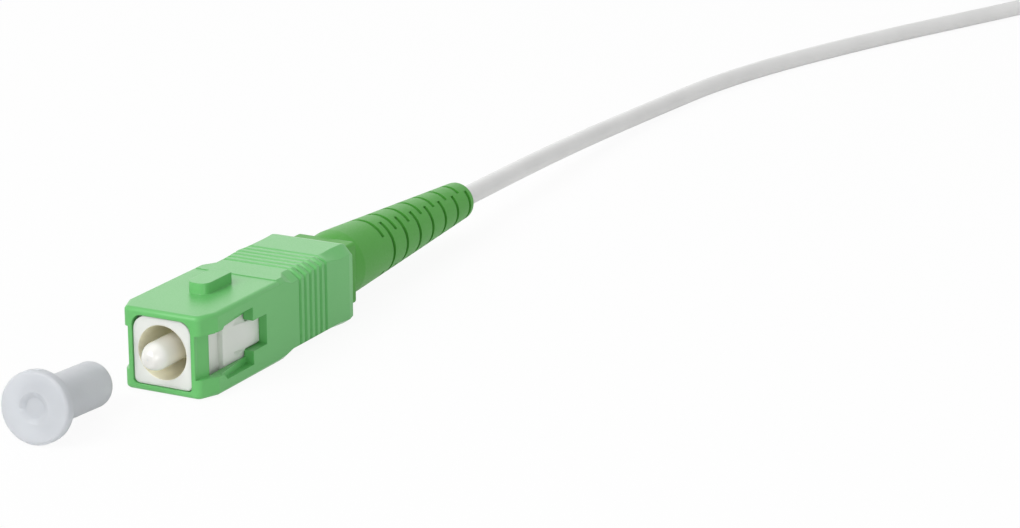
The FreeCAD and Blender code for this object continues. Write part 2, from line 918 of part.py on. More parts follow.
def main():
    os.makedirs("parts", exist_ok=True)
    nodes = {
        "outer_housing": outer_housing(),
        "plug_frame": plug_frame(),
        "ferrule": ferrule(),
        "ferrule_flange": ferrule_flange(),
        "optical_fibre": optical_fibre(),
        "guide_tube": guide_tube(),
        "spring": spring(),
        "back_post": back_post(),
        "aramid_yarn": aramid_yarn(),
        "crimp_ring": crimp_ring(),
        "tight_buffer": tight_buffer(),
        "boot": boot(),
        "dust_cap": dust_cap(),
        "cord": cord(),
        "cord_coil": cord_coil(),
        "end_yarn": end_yarn(),
        "end_buffer": end_buffer(),
    }
    for number, angle in enumerate(tie_angles, start=1):
        nodes["coil_tie_" + str(number)] = coil_tie(angle)
    for name, shape in nodes.items():
        print(name, "solids", len(shape.Solids), "valid", shape.isValid(), "volume", round(shape.Volume, 3))
        shape.exportStep("parts/" + name + ".step")


main()
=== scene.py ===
import logging
import math
from dataclasses import dataclass
from enum import Enum

import bmesh
import bpy
from mathutils import Matrix, Vector


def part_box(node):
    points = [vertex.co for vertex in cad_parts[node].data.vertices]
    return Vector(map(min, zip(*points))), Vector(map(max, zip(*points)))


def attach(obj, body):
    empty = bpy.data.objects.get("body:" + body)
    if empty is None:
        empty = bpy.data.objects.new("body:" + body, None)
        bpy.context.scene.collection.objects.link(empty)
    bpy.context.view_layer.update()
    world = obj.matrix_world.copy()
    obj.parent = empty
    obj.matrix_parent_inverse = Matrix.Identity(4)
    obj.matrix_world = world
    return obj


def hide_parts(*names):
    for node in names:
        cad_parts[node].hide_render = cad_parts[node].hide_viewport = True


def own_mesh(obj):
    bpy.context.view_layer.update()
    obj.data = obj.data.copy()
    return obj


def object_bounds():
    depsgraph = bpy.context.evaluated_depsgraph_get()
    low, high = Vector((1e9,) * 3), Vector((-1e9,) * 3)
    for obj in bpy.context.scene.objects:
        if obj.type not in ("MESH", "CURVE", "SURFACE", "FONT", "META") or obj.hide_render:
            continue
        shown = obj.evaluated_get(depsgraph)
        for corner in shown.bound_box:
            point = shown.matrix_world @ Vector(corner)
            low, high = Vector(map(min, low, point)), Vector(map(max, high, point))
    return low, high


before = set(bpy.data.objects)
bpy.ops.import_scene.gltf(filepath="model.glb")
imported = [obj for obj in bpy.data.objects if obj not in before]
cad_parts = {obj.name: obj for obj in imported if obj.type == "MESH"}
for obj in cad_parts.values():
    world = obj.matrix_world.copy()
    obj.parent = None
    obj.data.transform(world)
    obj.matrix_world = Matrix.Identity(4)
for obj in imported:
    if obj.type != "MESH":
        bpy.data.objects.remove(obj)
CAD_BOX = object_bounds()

# An SC simplex fibre connector on a 2 mm cord, with its dust cap off.
# The ferrule's end face is at the origin, +Y runs back along the cord, +Z is the key's side.
# Lengths are in metres, except where a name ends in _mm or a class says millimetres.

log = logging.getLogger("sc_connector")

Point = tuple[float, float, float]
# a node and the name or number of one of its outputs
Output = tuple[bpy.types.Node, str | int]
# (radius, y, rounding) of one corner of a turned profile, in millimetres
Corner = tuple[float, float, float]
# (x, z) of each corner of a block's outline, in millimetres
Outline = list[tuple[float, float]]

MM = 0.001
# points nearer than this are one point
WELD = 0.001 * MM
# faces of a CAD mesh that turn by less than this are one flat face
FLAT_DEGREES = 0.5
# a moulded edge is rounded, in so many steps, where its faces turn by more than so much
EDGE_STEPS = 2
EDGE_DEGREES = 35.0
# edges that turn by more than this stay sharp in the shading
SHARP_DEGREES = 28.0
# how far a large flat face leads the shading of the narrow faces beside it, up to 100
FLAT_FACE_LEAD = 80
# straight steps in the rounding of a turned profile
ROUNDING_STEPS = 5

# noise seldom leaves this part of its range, so this part is stretched over the whole
NOISE_LOW = 0.3
NOISE_HIGH = 0.7
# finer layers in a slow change of colour, and in a grain
SLOW = 2.0
FINE = 3.0
# rays that look for an edge to round
EDGE_RAYS = 6
# a mix has sockets of the same names for each kind of value, so the colours' go by number
MIX_FIRST = 6
MIX_SECOND = 7
MIX_RESULT = 2
# light spreads as far in red as in green and blue
EVEN_SPREAD = (1.0, 1.0, 1.0)
# a wave texture goes through this many radians in one unit
WAVE_RADIANS = 20.0


def linear(hex_colour: str) -> tuple[float, float, float, float]:
    """Turns an sRGB hex colour into the linear one that shaders use.

    Args:
        hex_colour: six hex digits after a hash sign.

    Returns:
        Red, green, blue and a full alpha, linear.
    """
    parts = [int(hex_colour[start:start + 2], 16) / 255 for start in (1, 3, 5)]
    red, green, blue = (
        part / 12.92 if part <= 0.04045 else ((part + 0.055) / 1.055) ** 2.4 for part in parts
    )
    return red, green, blue, 1.0


def per_metre(size_mm: float) -> float:
    """Texture scale at which one repeat of a pattern is size_mm long."""
    return 1.0 / (size_mm * MM)


def add_node(
    tree: bpy.types.NodeTree,
    kind: str,
    settings: dict[str, object] | None = None,
    values: dict[str | int, object] | None = None,
    links: dict[str | int, Output] | None = None,
) -> bpy.types.Node:
    """Adds one node to a tree, with its settings, values and links.

    Args:
        tree: the node tree.
        kind: the node's type.
        settings: the node's own properties, by name.
        values: constants for its inputs, by input name or number.
        links: what feeds its inputs, by input name or number.

    Returns:
        The new node.
    """
    node = tree.nodes.new(kind)
    for name, value in (settings or {}).items():
        setattr(node, name, value)
    for key, value in (values or {}).items():
        node.inputs[key].default_value = value
    for key, (source, output) in (links or {}).items():
        tree.links.new(source.outputs[output], node.inputs[key])
    return node


def wander(
    tree: bpy.types.NodeTree,
    place: Output,
    size_mm: float,
    low: float = 0.0,
    high: float = 1.0,
    detail: float = SLOW,
) -> Output:
    """Makes a value that wanders between two ends, in blotches of a real size.

    Args:
        tree: the node tree.
        place: what gives the place.
        size_mm: how far across a blotch is.
        low: one end.
        high: the other end.
        detail: how many finer layers the blotches have.

    Returns:
        The value.
    """
    blotches = add_node(
        tree,
        "ShaderNodeTexNoise",
        values={"Scale": per_metre(size_mm), "Detail": detail},
        links={"Vector": place},
    )
    stretched = add_node(
        tree,
        "ShaderNodeMapRange",
        values={"From Min": NOISE_LOW, "From Max": NOISE_HIGH, "To Min": low, "To Max": high},
        links={"Value": (blotches, 0)},
    )
    return stretched, 0


def seen_directly(tree: bpy.types.NodeTree, lighting: float, seen: float) -> Output:
    """Tells the rays that show the background from those that light the object.

    Args:
        tree: the node tree.
        lighting: the value for rays that light the object.
        seen: the value for camera, glossy and transmission rays.

    Returns:
        The value.
    """
    rays = add_node(tree, "ShaderNodeLightPath")
    shown = (rays, "Is Camera Ray")
    for also in ("Is Glossy Ray", "Is Transmission Ray"):
        either = add_node(
            tree,
            "ShaderNodeMath",
            settings={"operation": "MAXIMUM"},
            links={0: shown, 1: (rays, also)},
        )
        shown = (either, 0)
    value = add_node(
        tree,
        "ShaderNodeMapRange",
        values={"To Min": lighting, "To Max": seen},
        links={"Value": shown},
    )
    return value, 0


@dataclass(frozen=True)
class Finish:
    """What every finish has: two near colours, a gloss and a relief, which all wander a little.

    Attributes:
        name: the material's name.
        colour: its main colour.
        second_colour: the colour that it wanders to.
        roughness: its middle roughness.
        smoother: how far it drops in places.
        rougher: how far it rises in places.
        relief_mm: how deep its relief is.
        relief_share: how much of the relief's tilt the light follows.
        edge_mm: how far its edges look rounded.
    """

    name: str
    colour: str
    second_colour: str
    roughness: float = 0.5
    smoother: float = 0.0
    rougher: float = 0.0
    relief_mm: float = 0.0016
    relief_share: float = 0.5
    edge_mm: float = 0.05

    def build(self) -> bpy.types.Material:
        """Makes the material, each kind of finish in its own way."""
        raise NotImplementedError

    def start(self) -> tuple[bpy.types.Material, bpy.types.NodeTree, Output]:
        """Makes an empty material.

        Returns:
            The material, its node tree, and a point's place on the piece.
        """
        material = bpy.data.materials.new(self.name)
        material.use_nodes = True
        tree = material.node_tree
        tree.nodes.clear()
        return material, tree, (add_node(tree, "ShaderNodeTexCoord"), "Object")

    def colours(
        self, tree: bpy.types.NodeTree, place: Output, size_mm: float, detail: float = SLOW
    ) -> Output:
        """Lets the finish's two colours wander into each other.

        Args:
            tree: the node tree.
            place: what gives the place.
            size_mm: how far across a blotch of one colour is.
            detail: how many finer layers the blotches have.

        Returns:
            The colour.
        """
        mixed = add_node(
            tree,
            "ShaderNodeMix",
            settings={"data_type": "RGBA"},
            values={MIX_FIRST: linear(self.colour), MIX_SECOND: linear(self.second_colour)},
            links={0: wander(tree, place, size_mm, detail=detail)},
        )
        return mixed, MIX_RESULT

    def gloss(
        self, tree: bpy.types.NodeTree, place: Output, size_mm: float, detail: float = SLOW
    ) -> Output:
        """Lets the roughness wander between its smoothest and its roughest."""
        low, high = self.roughness - self.smoother, self.roughness + self.rougher
        return wander(tree, place, size_mm, low, high, detail)

    def close(
        self,
        tree: bpy.types.NodeTree,
        height: Output,
        values: dict[str | int, object],
        links: dict[str | int, Output],
    ) -> None:
        """Adds the rounded edges, the relief, the surface and the output.

        Args:
            tree: the node tree.
            height: the relief's height.
            values: the surface's constants.
            links: the surface's colour and roughness.
        """
        edge = add_node(
            tree,
            "ShaderNodeBevel",
            settings={"samples": EDGE_RAYS},
            values={"Radius": self.edge_mm * MM},
        )
        relief = add_node(
            tree,
            "ShaderNodeBump",
            values={"Strength": self.relief_share, "Distance": self.relief_mm * MM},
            links={"Height": height, "Normal": (edge, 0)},
        )
        surface = add_node(
            tree, "ShaderNodeBsdfPrincipled", values=values, links={**links, "Normal": (relief, 0)}
        )
        add_node(tree, "ShaderNodeOutputMaterial", links={"Surface": (surface, 0)})


@dataclass(frozen=True)
class PlainSolid(Finish):
    """A polymer, ceramic or glass, with its own colour and a white gloss.

    Attributes:
        ior: its index of refraction.
        grain_mm: how far across a grain of its surface is.
        flow_mm: how far across a blotch of one colour is.
        clearness: the share of its light that passes through it.
        skin: the share of its light that enters it and comes out again.
        skin_reach_mm: how far that light spreads.
        painted_bore_light: the colour of a painted warm light inside its bore, or nothing.
        bore_mm: the bore's radius.
        bore_blend_mm: over what depth the painted light fades in at the bore.
    """

    smoother: float = 0.06
    rougher: float = 0.06
    edge_mm: float = 0.12
    ior: float = 1.5
    grain_mm: float = 0.12
    flow_mm: float = 6.0
    clearness: float = 0.0
    skin: float = 0.0
    skin_reach_mm: float = 0.5
    painted_bore_light: str = ""
    bore_mm: float = 0.0
    bore_blend_mm: float = 0.03

    def paint_bore_light(self, tree: bpy.types.NodeTree, place: Output, colour: Output) -> Output:
        """Paints a warm light inside a bore, as colour, for the light that passes through the
        plastic and bounces there.

        Args:
            tree: the node tree.
            place: what gives the place.
            colour: the colour outside the bore.

        Returns:
            The new colour.
        """
        # without its y, a place's length is its distance from the axis
        across = add_node(
            tree,
            "ShaderNodeVectorMath",
            settings={"operation": "MULTIPLY"},
            values={1: (1.0, 0.0, 1.0)},
            links={0: place},
        )
        radius = add_node(
            tree, "ShaderNodeVectorMath", settings={"operation": "LENGTH"}, links={0: (across, 0)}
        )
        outside_mm = self.bore_mm + self.bore_blend_mm
        inside = add_node(
            tree,
            "ShaderNodeMapRange",
            values={"From Min": outside_mm * MM, "From Max": self.bore_mm * MM},
            links={"Value": (radius, "Value")},
        )
        # the painted warm light takes over the colour inside the bore
        mixed = add_node(
            tree,
            "ShaderNodeMix",
            settings={"data_type": "RGBA"},
            values={MIX_SECOND: linear(self.painted_bore_light)},
            links={0: (inside, 0), MIX_FIRST: colour},
        )
        return mixed, MIX_RESULT

    def build(self) -> bpy.types.Material:
        """Makes the material.

        Returns:
            The material.
        """
        material, tree, place = self.start()
        colour = self.colours(tree, place, self.flow_mm)
        if self.painted_bore_light:
            colour = self.paint_bore_light(tree, place, colour)
        self.close(
            tree,
            wander(tree, place, self.grain_mm, detail=FINE),
            values={
                "IOR": self.ior,
                "Transmission Weight": self.clearness,
                "Subsurface Weight": self.skin,
                "Subsurface Radius": EVEN_SPREAD,
                "Subsurface Scale": self.skin_reach_mm * MM,
            },
            links={
                "Base Color": colour,
                "Roughness": self.gloss(tree, place, self.grain_mm, FINE),
            },
        )
        return material


@dataclass(frozen=True)
class MouldedPlastic(PlainSolid):
    """A polymer, injection-moulded in a spark-eroded mould or extruded.

    The eye gets a soft, broad highlight, a faint unevenness of colour where the melt ran,
    and a fine grain that breaks the gloss. The real grain is 0.02 mm, too fine to show, so
    it is drawn coarser.
    """

    roughness: float = 0.42


@dataclass(frozen=True)
class PolishedBody(PlainSolid):
    """Fired zirconia or drawn silica, ground round and polished.

    The eye gets a small, bright highlight on an even body. The polish leaves no grain that
    shows, so the relief is next to nothing.
    """

    roughness: float = 0.15
    relief_mm: float = 0.0002


@dataclass(frozen=True)
class FrostedPolyethylene(PlainSolid):
    """Natural low-density polyethylene, moulded with a fine matt mould.

    The eye gets a milky body that lets light through, darker where the wall is thick, with
    a waxy, even sheen.
    """

    roughness: float = 0.5
    smoother: float = 0.05
    rougher: float = 0.08
    edge_mm: float = 0.05
    ior: float = 1.4
    grain_mm: float = 0.25
    flow_mm: float = 3.0
    clearness: float = 0.3
    skin: float = 0.6
    skin_reach_mm: float = 1.5


@dataclass(frozen=True)
class TurnedMetal(Finish):
    """A turned or drawn metal, with the tool's fine rings round the part's axis.

    The eye gets a tight streak of light that the rings draw out, and small changes of gloss.
    The real rings are 0.05 mm apart, and are drawn coarser so that they show.

    Attributes:
        ring_mm: how far apart the rings are.
        waver: how far the rings stray from straight.
        wear_mm: how far across a worn patch is.
    """

    roughness: float = 0.28
    smoother: float = 0.05
    rougher: float = 0.1
    relief_mm: float = 0.002
    edge_mm: float = 0.03
    ring_mm: float = 0.158
    waver: float = 1.0
    wear_mm: float = 1.5

    def build(self) -> bpy.types.Material:
        """Makes the material.

        Returns:
            The material.
        """
        material, tree, place = self.start()
        scale = per_metre(self.ring_mm) * 2.0 * math.pi / WAVE_RADIANS
        rings = add_node(
            tree,
            "ShaderNodeTexWave",
            settings={"bands_direction": "Y"},
            values={"Scale": scale, "Distortion": self.waver},
            links={"Vector": place},
        )
        self.close(
            tree,
            (rings, 1),
            values={"Metallic": 1.0},
            links={
                "Base Color": self.colours(tree, place, self.wear_mm),
                "Roughness": self.gloss(tree, place, self.wear_mm),
            },
        )
        return material


@dataclass(frozen=True)
class LaidFibre(Finish):
    """A bundle of fine fibres laid side by side, such as aramid yarn.

    The eye gets fine bright and dark strands along the bundle and a silky sheen. A real
    filament is 0.012 mm, too fine to show, so each strand drawn stands for a dozen.

    Attributes:
        ior: its index of refraction.
        sheen: how strong its silky edge is.
        strand_mm: how thick a drawn strand is.
        stretch: a strand's thickness as a share of its length.
        bright_roughness: the bright strands' roughness; the dark ones have the finish's.
    """

    roughness: float = 0.6
    relief_mm: float = 0.02
    edge_mm: float = 0.02
    ior: float = 1.6
    sheen: float = 0.3
    strand_mm: float = 0.15
    stretch: float = 0.06
    bright_roughness: float = 0.45

    def build(self) -> bpy.types.Material:
        """Makes the material.

        Returns:
            The material.
        """
        material, tree, place = self.start()
        # the strands run along Y, so the pattern is stretched that way
        stretched = (1.0, self.stretch, 1.0)
        along = add_node(
            tree, "ShaderNodeMapping", values={"Scale": stretched}, links={"Vector": place}
        )
        place = (along, 0)
        self.close(
            tree,
            wander(tree, place, self.strand_mm, detail=FINE),
            values={"Sheen Weight": self.sheen, "IOR": self.ior},
            links={
                "Base Color": self.colours(tree, place, self.strand_mm, FINE),
                "Roughness": wander(
                    tree, place, self.strand_mm, self.roughness, self.bright_roughness, FINE
                ),
            },
        )
        return material


@dataclass(frozen=True)
class BackdropPaper(Finish):
    """White matt paper, laid as a floor.

    The eye gets a plain white that keeps the object's shadow. Where the paper is seen
    directly most of it glows, and where it lights the object it is paper and nothing else.

    Attributes:
        fibre_mm: how far across a clump of fibres is.
        glow: the share of the paper that glows where it is seen directly.
    """

    relief_mm: float = 0.004
    relief_share: float = 0.3
    fibre_mm: float = 0.8
    glow: float = 0.93

    def build(self) -> bpy.types.Material:
        """Makes the material.

        Returns:
            The material.
        """
        material, tree, place = self.start()
        relief = add_node(
            tree,
            "ShaderNodeBump",
            values={"Strength": self.relief_share, "Distance": self.relief_mm * MM},
            links={"Height": wander(tree, place, self.fibre_mm, detail=FINE)},
        )
        white = linear(self.colour)
        paper = add_node(
            tree, "ShaderNodeBsdfDiffuse", values={"Color": white}, links={"Normal": (relief, 0)}
        )
        glow = add_node(tree, "ShaderNodeEmission", values={"Strength": 1.0})
        both = add_node(
            tree,
            "ShaderNodeMixShader",
            links={0: seen_directly(tree, 0.0, self.glow), 1: (paper, 0), 2: (glow, 0)},
        )
        add_node(tree, "ShaderNodeOutputMaterial", links={"Surface": (both, 0)})
        return material


# the housing: an even mid green with a soft, broad gloss
GREEN_PBT = MouldedPlastic("green_pbt", "#61b463", "#66b768", roughness=0.36, ior=1.47, edge_mm=0.1)
# the frame: the same resin in white, with soft shadows and a painted warm light in its bore
WHITE_PBT = MouldedPlastic(
    "white_pbt", "#e3e5e1", "#dfe1dc", skin=0.5, skin_reach_mm=1.2,
    painted_bore_light="#fff9dc", bore_mm=2.44,
)
# the boot, a moulded elastomer: a darker green than the housing's, with a flatter gloss
GREEN_TPE = MouldedPlastic(
    "green_tpe", "#4a9b39", "#4e9e3d", roughness=0.5, ior=1.4, grain_mm=0.18, edge_mm=0.08
)
# the ferrule, ground and polished: a warm white with a small bright highlight
ZIRCONIA = PolishedBody("polished_zirconia", "#e7e6e1", "#e2e1dc", ior=2.1, skin=0.3)
# the fibre's end, polished with the ferrule: a cool, glassy grey
CLEAR_SILICA = PolishedBody(
    "polished_silica", "#dfe2e4", "#d8dcdf", roughness=0.12, ior=1.46, relief_mm=0.0001
)
# the fibre's sleeves and the coil's ties, undyed: a creamy white that light enters
NATURAL_POLYAMIDE = MouldedPlastic(
    "natural_polyamide", "#f0eee6", "#e8e6dc", roughness=0.35, skin=0.2
)
# the cord's extruded jacket: a plain off-white, a little duller than the frame
CORD_PVC = MouldedPlastic(
    "white_cord_pvc", "#e0e0df", "#d9d9d8", roughness=0.45, grain_mm=0.3, edge_mm=0.05
)
# the dust cap: milky and waxy
CAP_POLYETHYLENE = FrostedPolyethylene("frosted_polyethylene", "#dadde1", "#d3d6da")
# the flange and the post, plated after turning: a warm bright silver
NICKEL_BRASS = TurnedMetal("nickel_on_brass", "#cfcdc6", "#c2bfb6")
# the spring, drawn and coiled: a neutral grey metal
SPRING_STEEL = TurnedMetal("drawn_spring_steel", "#b7b8ba", "#a8a9ab", roughness=0.32)
# the crimp ring, pressed: a pale, soft-looking metal
CRIMP_ALUMINIUM = TurnedMetal("crimped_aluminium", "#d3d4d6", "#c6c7c9", roughness=0.36)
# the cord's yarn: straw yellow with darker strands
ARAMID = LaidFibre("aramid_yarn", "#b8913a", "#e0bf5a")
# the floor
WHITE_PAPER = BackdropPaper("white_paper", "#f4f4f4", "#f4f4f4")


class Body(Enum):
    """The CAD bodies that pieces ride on."""

    PLUG = "plug"
    GRIP = "grip"
    FERRULE = "ferrule_unit"


class Slot(Enum):
    """The record's material slots, one named for each kind of new piece."""

    HOUSING = "housing_plastic"
    FRAME = "frame_plastic"
    FERRULE = "zirconia"
    SPRING = "spring_steel"
    JACKET = "jacket"
    BOOT = "boot_rubber"
    CAP = "cap_plastic"


class Join(Enum):
    """How a tool meets a piece."""

    ADD = "UNION"
    CUT = "DIFFERENCE"


def link(name: str, data: bpy.types.ID) -> bpy.types.Object:
    """Puts a mesh, curve, lamp or camera into the scene as an object of the same name.

    Args:
        name: the object's name.
        data: what the object shows.

    Returns:
        The object.
    """
    data.name = name
    thing = bpy.data.objects.new(name, data)
    bpy.context.scene.collection.objects.link(thing)
    return thing


def weigh(piece: bpy.types.Object) -> None:
    """Smooths a piece's curves, with its larger faces left flat.

    Args:
        piece: the piece.
    """
    piece.data.shade_smooth()
    piece.data.set_sharp_from_angle(angle=math.radians(SHARP_DEGREES))
    weights = piece.modifiers.new("flat_faces_lead", "WEIGHTED_NORMAL")
    weights.mode = "FACE_AREA"
    weights.weight = FLAT_FACE_LEAD
    weights.keep_sharp = True


def weld(mesh: bpy.types.Mesh, flat_degrees: float = 0.0) -> None:
    """Merges a mesh's points that coincide, and its faces that lie in one plane.

    Args:
        mesh: the mesh.
        flat_degrees: faces that turn by less than this are merged; at 0 none are.
    """
    work = bmesh.new()
    work.from_mesh(mesh)
    bmesh.ops.remove_doubles(work, verts=work.verts, dist=WELD)
    if flat_degrees:
        bmesh.ops.dissolve_limit(
            work, angle_limit=math.radians(flat_degrees), verts=work.verts, edges=work.edges
        )
    work.to_mesh(mesh)
    work.free()


def solid(name: str, work: bmesh.types.BMesh) -> bpy.types.Object:
    """Ends the making of a mesh: turns its faces outwards and links it as a piece.

    Args:
        name: the piece's name.
        work: the mesh in the making, which is freed.

    Returns:
        The piece.
    """
    bmesh.ops.recalc_face_normals(work, faces=work.faces)
    mesh = bpy.data.meshes.new(name)
    work.to_mesh(mesh)
    work.free()
    return link(name, mesh)


def combine(piece: bpy.types.Object, tool: bpy.types.Object, join: Join) -> None:
    """Joins a tool to a piece or cuts it out, and removes the tool.

    Args:
        piece: the piece.
        tool: the other solid.
        join: whether the tool is added or cut out.
    """
    step = piece.modifiers.new("combine", "BOOLEAN")
    step.operation = join.value
    step.object = tool
    step.solver = "EXACT"
    shape = piece.evaluated_get(bpy.context.evaluated_depsgraph_get())
    mesh = bpy.data.meshes.new_from_object(shape)
    weld(mesh)
    piece.modifiers.clear()
    piece.data = mesh
    bpy.data.objects.remove(tool)


def moulded(
    node: str, name: str, edge_mm: float, added: bpy.types.Object | None = None
) -> bpy.types.Object:
    """Makes a piece with a CAD node's form and a mould's small rounding on its edges.

    Args:
        node: the CAD node.
        name: the new piece's name.
        edge_mm: the width of the rounding.
        added: a solid that is joined to it before its edges are rounded.

    Returns:
        The new piece.
    """
    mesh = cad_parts[node].data.copy()
    weld(mesh, FLAT_DEGREES)
    if mesh.has_custom_normals:
        # the CAD mesh's own shading doesn't fit the merged faces
        mesh.normals_split_custom_set([(0.0, 0.0, 0.0)] * len(mesh.loops))
    piece = link(name, mesh)
    if added:
        combine(piece, added, Join.ADD)
    edges = piece.modifiers.new("mould_edges", "BEVEL")
    edges.width = edge_mm * MM
    edges.segments = EDGE_STEPS
    edges.limit_method = "ANGLE"
    edges.angle_limit = math.radians(EDGE_DEGREES)
    edges.miter_outer = "MITER_ARC"
    piece.modifiers.new("weld", "WELD").merge_threshold = WELD
    weigh(piece)
    return piece


def rounded(profile: list[Corner]) -> list[Vector]:
    """Rounds a profile's corners.

    Args:
        profile: its corners.

    Returns:
        The line's points as (radius, y), in metres.
    """
    line = []
    for number, (radius, y, rounding) in enumerate(profile):
        corner = Vector((radius, y))
        if rounding == 0.0:
            line.append(corner * MM)
            continue
        back = (Vector(profile[number - 1][:2]) - corner).normalized()
        ahead = (Vector(profile[(number + 1) % len(profile)][:2]) - corner).normalized()
        half = back.angle(ahead) / 2.0
        centre = corner + (back + ahead).normalized() * (rounding / math.sin(half))
        first = corner + back * (rounding / math.tan(half)) - centre
        last = corner + ahead * (rounding / math.tan(half)) - centre
        for step in range(ROUNDING_STEPS + 1):
            arm = first.lerp(last, step / ROUNDING_STEPS).normalized() * rounding
            line.append((centre + arm) * MM)
    return line


def lathe(
    name: str, profile: list[Corner], closed: bool = False, segments: int = 96
) -> bpy.types.Object:
    """Turns a profile about the Y axis.

    Args:
        name: the piece's name.
        profile: its corners.
        closed: whether the last corner joins the first, round a bore.
        segments: straight steps in a turn.

    Returns:
        The piece.
    """
    work = bmesh.new()
    turns = [2.0 * math.pi * number / segments for number in range(segments)]
    rings = []
    for radius, y in rounded(profile):
        if radius < WELD:
            rings.append([work.verts.new((0.0, y, 0.0))])
            continue
        ring = [work.verts.new((radius * math.sin(t), y, radius * math.cos(t))) for t in turns]
        rings.append(ring)
    followers = rings[1:] + rings[:1] if closed else rings[1:]
    for near, far in zip(rings, followers):
        for step in range(segments):
            after = (step + 1) % segments
            around = [near[step % len(near)], far[step % len(far)]]
            around += [far[after % len(far)], near[after % len(near)]]
            # where a ring is one point on the axis, that corner comes only once
            work.faces.new(list(dict.fromkeys(around)))
    return solid(name, work)


def prism(name: str, blocks: list[tuple[Outline, float, float]]) -> bpy.types.Object:
    """Makes straight blocks along Y from outlines across it.

    Args:
        name: the piece's name.
        blocks: each block's outline and its first and last y, in millimetres.

    Returns:
        The piece.
    """
    work = bmesh.new()
    for outline, first, last in blocks:
        near = [work.verts.new((x * MM, first * MM, z * MM)) for x, z in outline]
        far = [work.verts.new((x * MM, last * MM, z * MM)) for x, z in outline]
        work.faces.new(near)
        work.faces.new(far)
        for side in range(len(outline)):
            work.faces.new((near[side - 1], near[side], far[side], far[side - 1]))
    return solid(name, work)


def dress(
    piece: bpy.types.Object, finish: Finish, body: Body, slot: Slot, *nodes: str
) -> bpy.types.Object:
    """Gives a new piece its finish and its body, and hides the CAD nodes that it stands for.

    Args:
        piece: the piece.
        finish: its finish.
        body: the CAD body that it rides on.
        slot: the record's material slot; not used.
        nodes: the CAD nodes that it replaces.

    Returns:
        The same piece.
    """
    piece.data.materials.clear()
    piece.data.materials.append(finish.build())
    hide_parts(*nodes)
    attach(piece, body.value)
    return piece


def refinish(node: str, finish: Finish) -> bpy.types.Object:
    """Gives a CAD node that stays a better material.

    Args:
        node: the CAD node.
        finish: its finish.

    Returns:
        The node's object.
    """
    material = finish.build()
    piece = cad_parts[node]
    for slot in piece.material_slots:
        slot.material = material
    return piece


@dataclass(frozen=True)
class Lamp:
    """A soft square lamp: its name, its place and side in metres, and its power in watts."""

    name: str
    place: Point
    side: float
    watts: float

    def hang(self, target: Point) -> None:
        """Hangs the lamp so that it looks at a point.

        Args:
            target: the point.
        """
        light = bpy.data.lights.new(self.name, "AREA")
        light.shape = "SQUARE"
        light.size = self.side
        light.energy = self.watts
        lamp = link(self.name, light)
        lamp.location = self.place
        gaze = Vector(target) - Vector(self.place)
        lamp.rotation_euler = gaze.to_track_quat("-Z", "Y").to_euler()


@dataclass
class Studio:
    """The camera, the floor, the lamps and the white surround. Sizes in metres and degrees."""

    camera_place: Point = (0.13600, -0.19957, 0.08153)
    camera_tilt: float = 73.046
    camera_turn: float = 27.006
    lens_mm: float = 105.9
    sensor_mm: float = 36.0
    nearest: float = 0.01
    farthest: float = 20.0
    floor_half: float = 3.0
    # the floor lies this far under the object, so that their faces don't coincide
    floor_gap: float = 0.00002
    surround_colour: str = "#ffffff"
    surround_lighting: float = 0.46
    surround_seen: float = 1.0
    lamps_look_at: Point = (0.0, 0.02, 0.0)
    # in front, overhead, behind where the flat tops mirror it, and beside
    lamps: tuple[Lamp, ...] = (
        Lamp("front_lamp", (-0.25, -0.7, 0.6), 0.6, 6.2),
        Lamp("overhead_lamp", (-0.15, 0.0, 0.8), 0.7, 0.7),
        Lamp("rear_lamp", (-0.54, 0.8, 0.36), 0.8, 1.35),
        Lamp("side_lamp", (0.8, -0.5, 0.2), 0.6, 1.95),
    )

    def camera(self) -> None:
        """Makes the scene's camera."""
        lens = bpy.data.cameras.new("camera")
        lens.sensor_fit = "HORIZONTAL"
        lens.sensor_width = self.sensor_mm
        lens.lens = self.lens_mm
        lens.clip_start = self.nearest
        lens.clip_end = self.farthest
        camera = link("camera", lens)
        camera.location = self.camera_place
        tilt, turn = math.radians(self.camera_tilt), math.radians(self.camera_turn)
        camera.rotation_euler = (tilt, 0.0, turn)
        bpy.context.scene.camera = camera

    def surround(self) -> None:
        """Makes the world: white where it is seen, dimmer where it lights the object."""
        world = bpy.data.worlds.new("white_surround")
        world.use_nodes = True
        tree = world.node_tree
        tree.nodes.clear()
        back = add_node(
            tree,
            "ShaderNodeBackground",
            values={"Color": linear(self.surround_colour)},
            links={"Strength": seen_directly(tree, self.surround_lighting, self.surround_seen)},
        )
        add_node(tree, "ShaderNodeOutputWorld", links={"Surface": (back, 0)})
        bpy.context.scene.world = world

    def floor(self) -> None:
        """Lays the white floor that the object lies on."""
        height = CAD_BOX[0].z - self.floor_gap
        half = self.floor_half
        corners = [(-half, -half), (half, -half), (half, half), (-half, half)]
        mesh = bpy.data.meshes.new("floor")
        mesh.from_pydata([(x, y, height) for x, y in corners], [], [(0, 1, 2, 3)])
        mesh.materials.append(WHITE_PAPER.build())
        link("floor", mesh)

    def light(self) -> None:
        """Hangs the lamps."""
        for lamp in self.lamps:
            lamp.hang(self.lamps_look_at)


